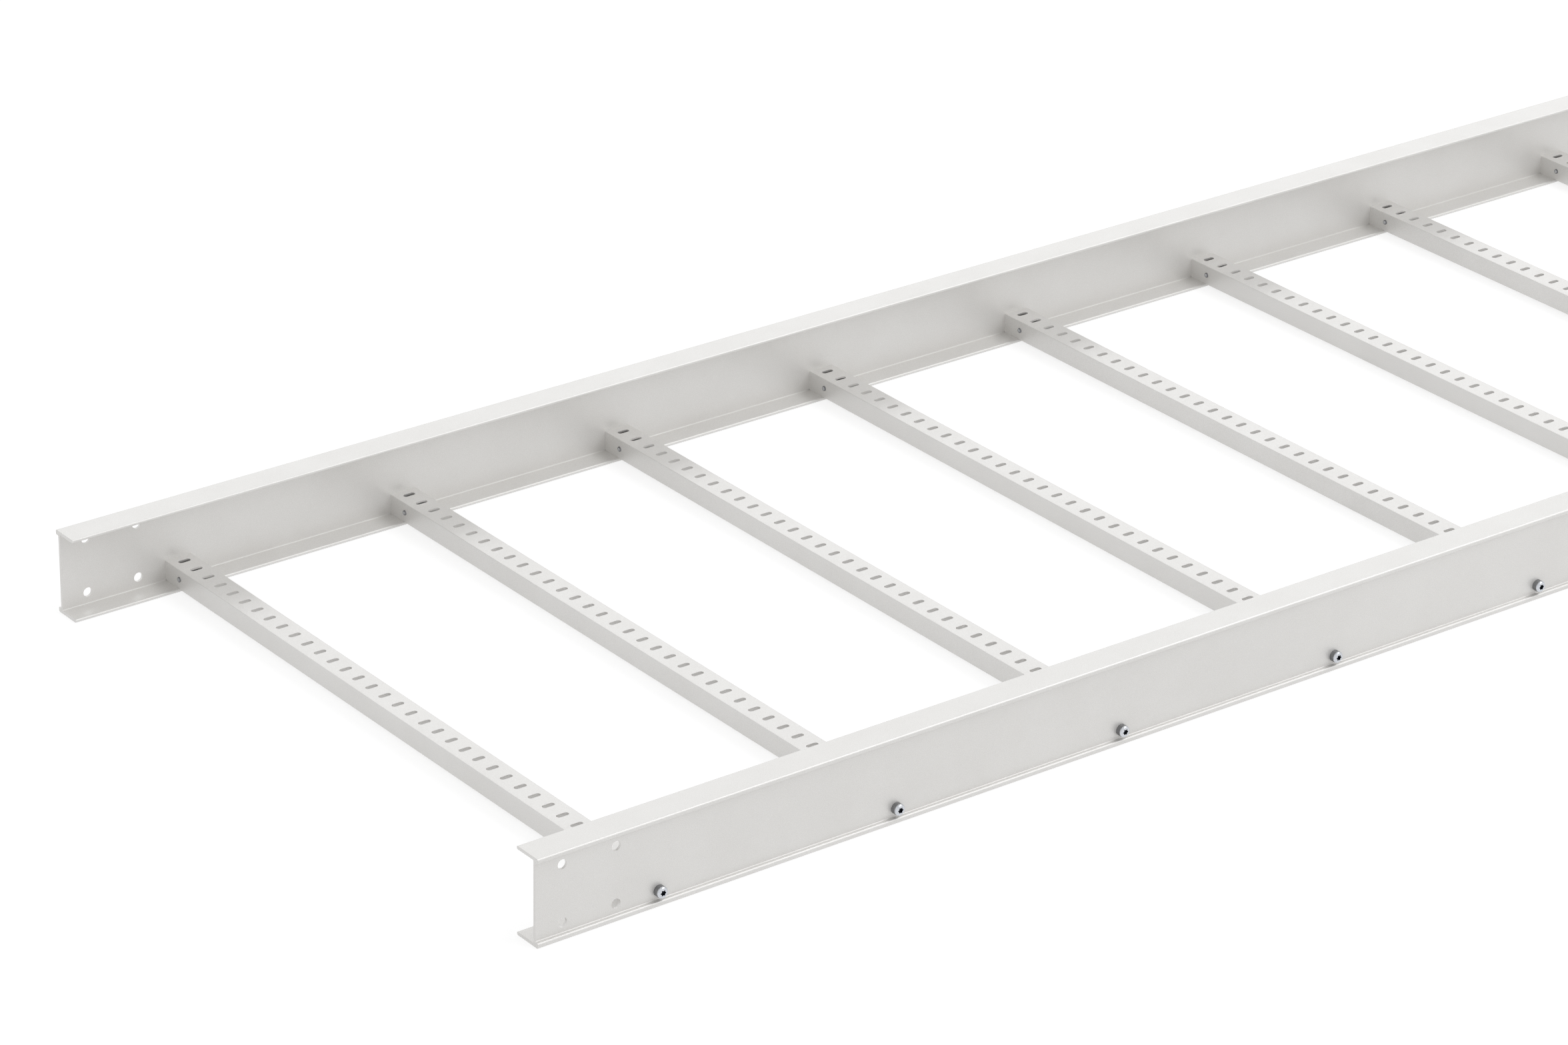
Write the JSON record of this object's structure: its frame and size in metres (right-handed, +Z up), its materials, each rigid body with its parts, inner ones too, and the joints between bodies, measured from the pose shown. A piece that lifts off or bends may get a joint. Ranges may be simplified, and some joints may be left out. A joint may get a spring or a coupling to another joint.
{
  "type": "cable ladder section",
  "caption": "Straight aluminium cable ladder section: two flanged side rails joined by slotted channel rungs, each end held by a screw.",
  "frame": {"origin": "bottom centre: halfway along the section and between the rails, on the plane of the rails' lower flanges", "axes": "+X along the side rails, +Y across, along the rungs, +Z up"},
  "size_m": [3, 0.922, 0.1],
  "materials": {
    "rail_aluminium": "matt extruded",
    "rung_aluminium": "matt extruded",
    "zinc_plated_steel": "bright zinc plated"
  },
  "bodies": {
    "root": {"side_rail_front": "rail_aluminium", "side_rail_back": "rail_aluminium", "rung_01": "rung_aluminium", "rung_02": "rung_aluminium", "rung_03": "rung_aluminium", "rung_04": "rung_aluminium", "rung_05": "rung_aluminium", "rung_06": "rung_aluminium", "rung_07": "rung_aluminium", "rung_08": "rung_aluminium", "rung_09": "rung_aluminium", "rung_10": "rung_aluminium", "rung_screw_front_01": "zinc_plated_steel", "rung_screw_front_02": "zinc_plated_steel", "rung_screw_front_03": "zinc_plated_steel", "rung_screw_front_04": "zinc_plated_steel", "rung_screw_front_05": "zinc_plated_steel", "rung_screw_front_06": "zinc_plated_steel", "rung_screw_front_07": "zinc_plated_steel", "rung_screw_front_08": "zinc_plated_steel", "rung_screw_front_09": "zinc_plated_steel", "rung_screw_front_10": "zinc_plated_steel", "rung_screw_back_01": "zinc_plated_steel", "rung_screw_back_02": "zinc_plated_steel", "rung_screw_back_03": "zinc_plated_steel", "rung_screw_back_04": "zinc_plated_steel", "rung_screw_back_05": "zinc_plated_steel", "rung_screw_back_06": "zinc_plated_steel", "rung_screw_back_07": "zinc_plated_steel", "rung_screw_back_08": "zinc_plated_steel", "rung_screw_back_09": "zinc_plated_steel", "rung_screw_back_10": "zinc_plated_steel", "cross_nut_front_01": "zinc_plated_steel", "cross_nut_front_02": "zinc_plated_steel", "cross_nut_front_03": "zinc_plated_steel", "cross_nut_front_04": "zinc_plated_steel", "cross_nut_front_05": "zinc_plated_steel", "cross_nut_front_06": "zinc_plated_steel", "cross_nut_front_07": "zinc_plated_steel", "cross_nut_front_08": "zinc_plated_steel", "cross_nut_front_09": "zinc_plated_steel", "cross_nut_front_10": "zinc_plated_steel", "cross_nut_back_01": "zinc_plated_steel", "cross_nut_back_02": "zinc_plated_steel", "cross_nut_back_03": "zinc_plated_steel", "cross_nut_back_04": "zinc_plated_steel", "cross_nut_back_05": "zinc_plated_steel", "cross_nut_back_06": "zinc_plated_steel", "cross_nut_back_07": "zinc_plated_steel", "cross_nut_back_08": "zinc_plated_steel", "cross_nut_back_09": "zinc_plated_steel", "cross_nut_back_10": "zinc_plated_steel"}
  },
  "joints": []
}
